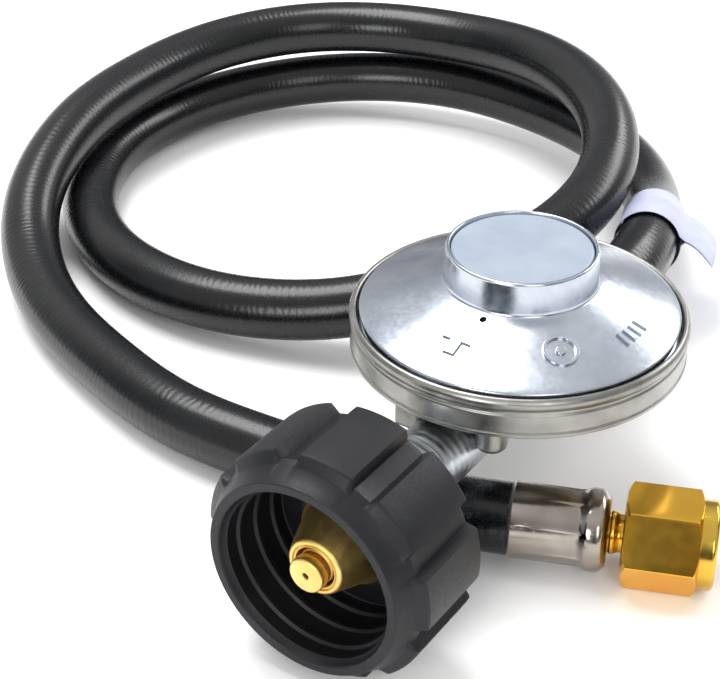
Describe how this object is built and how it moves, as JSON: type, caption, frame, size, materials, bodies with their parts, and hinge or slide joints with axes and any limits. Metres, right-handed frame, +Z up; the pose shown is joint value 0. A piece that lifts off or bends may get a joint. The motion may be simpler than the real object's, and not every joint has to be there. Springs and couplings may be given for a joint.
{
  "type": "propane regulator hose",
  "caption": "Low-pressure propane regulator with a ribbed hand nut on its inlet and a black rubber hose, laid in loops, ending in a crimped ferrule and a hex flare nut.",
  "frame": {"origin": "on the floor under the middle of the box round the rigid parts at the regulator end, which leaves out the hose, its label and the fitting on its far end", "axes": "+Z up, -Y out of the inlet hand nut, +Y out of the hose outlet, +X to the right of someone who looks along +Y"},
  "size_m": [0.2214, 0.2273, 0.0541],
  "materials": {
    "zinc": "satin zinc casting",
    "plated_steel": "satin zinc plate",
    "stainless": "polished stainless",
    "brass": "polished",
    "nut_plastic": "matte moulded",
    "cap_plastic": "satin",
    "inner_plastic": "matte",
    "bushing_plastic": "matte",
    "rubber": "matte",
    "hose_rubber": "satin",
    "paper": "matte paper"
  },
  "bodies": {
    "regulator": {"regulator_body": "zinc", "bonnet": "plated_steel", "closing_cap": "cap_plastic", "lever_pin": "plated_steel", "inlet_orifice": "brass", "inlet_nipple": "brass", "outlet_barb": "brass", "outlet_ferrule": "stainless", "hose": "hose_rubber", "hose_label": "paper", "far_ferrule": "stainless", "far_stem": "brass", "main_spring": "plated_steel", "flow_limiter_spring": "plated_steel"},
    "inlet_nut": {"hand_nut": "nut_plastic", "thermal_bushing": "bushing_plastic"},
    "limiter": {"flow_limiter": "brass"},
    "upper_spring_seat": {"spring_plate": "plated_steel"},
    "adjuster": {"adjusting_nut": "inner_plastic"},
    "stem": {"relief_stem": "plated_steel", "relief_nut": "brass", "relief_spring": "plated_steel"},
    "plates": {"diaphragm": "rubber", "upper_diaphragm_plate": "plated_steel", "lower_diaphragm_plate": "plated_steel"},
    "valve_lever": {"lever": "plated_steel"},
    "plunger": {"valve_plunger": "inner_plastic", "seat_disc": "rubber"},
    "outlet_nut": {"flare_nut": "brass"}
  },
  "joints": [
    {"name": "inlet_nut_spin", "type": "hinge", "parent": "regulator", "child": "inlet_nut", "pos_m": [0, -0.05, 0.0233], "axis": [0, 1, 0], "continuous": true},
    {"name": "flow_limiter_slide", "type": "slide", "parent": "regulator", "child": "limiter", "axis": [0, 1, 0], "range_m": [0, 0.0018], "stiffness_N_per_m": 300, "springref_m": -0.001, "deforming": ["flow_limiter_spring"]},
    {"name": "adjuster_travel", "type": "slide", "parent": "regulator", "child": "upper_spring_seat", "axis": [0, 0, 1], "range_m": [-0.0016, 0.0008], "deforming": ["main_spring"]},
    {"name": "adjuster_turn", "type": "hinge", "parent": "upper_spring_seat", "child": "adjuster", "pos_m": [0, 0.014, 0.05], "axis": [0, 0, 1], "range_deg": [-360, 180]},
    {"name": "stem_lift", "type": "slide", "parent": "regulator", "child": "stem", "axis": [0, 0, 1], "range_m": [0, 0.002], "stiffness_N_per_m": 400, "springref_m": -0.002, "deforming": ["main_spring", "diaphragm"]},
    {"name": "relief_lift", "type": "slide", "parent": "stem", "child": "plates", "axis": [0, 0, 1], "range_m": [0, 0.0008], "stiffness_N_per_m": 900, "springref_m": -0.002, "deforming": ["relief_spring", "diaphragm"]},
    {"name": "lever_swing", "type": "hinge", "parent": "regulator", "child": "valve_lever", "pos_m": [0, 0.0225, 0.0285], "axis": [1, 0, 0], "range_deg": [-18, 0]},
    {"name": "plunger_slide", "type": "slide", "parent": "regulator", "child": "plunger", "axis": [0, -1, 0], "range_m": [0, 0.0016]},
    {"name": "outlet_nut_spin", "type": "hinge", "parent": "regulator", "child": "outlet_nut", "pos_m": [0.04186, 0.00056, 0.009], "axis": [0.9322, 0.3621, 0], "continuous": true}
  ],
  "couplings": [
    {"joint": "adjuster_travel", "follows": "adjuster_turn", "m_per_rad": 0.00023873},
    {"joint": "lever_swing", "follows": "stem_lift", "rad_per_m": -117.65},
    {"joint": "plunger_slide", "follows": "stem_lift", "ratio": 0.6118}
  ]
}
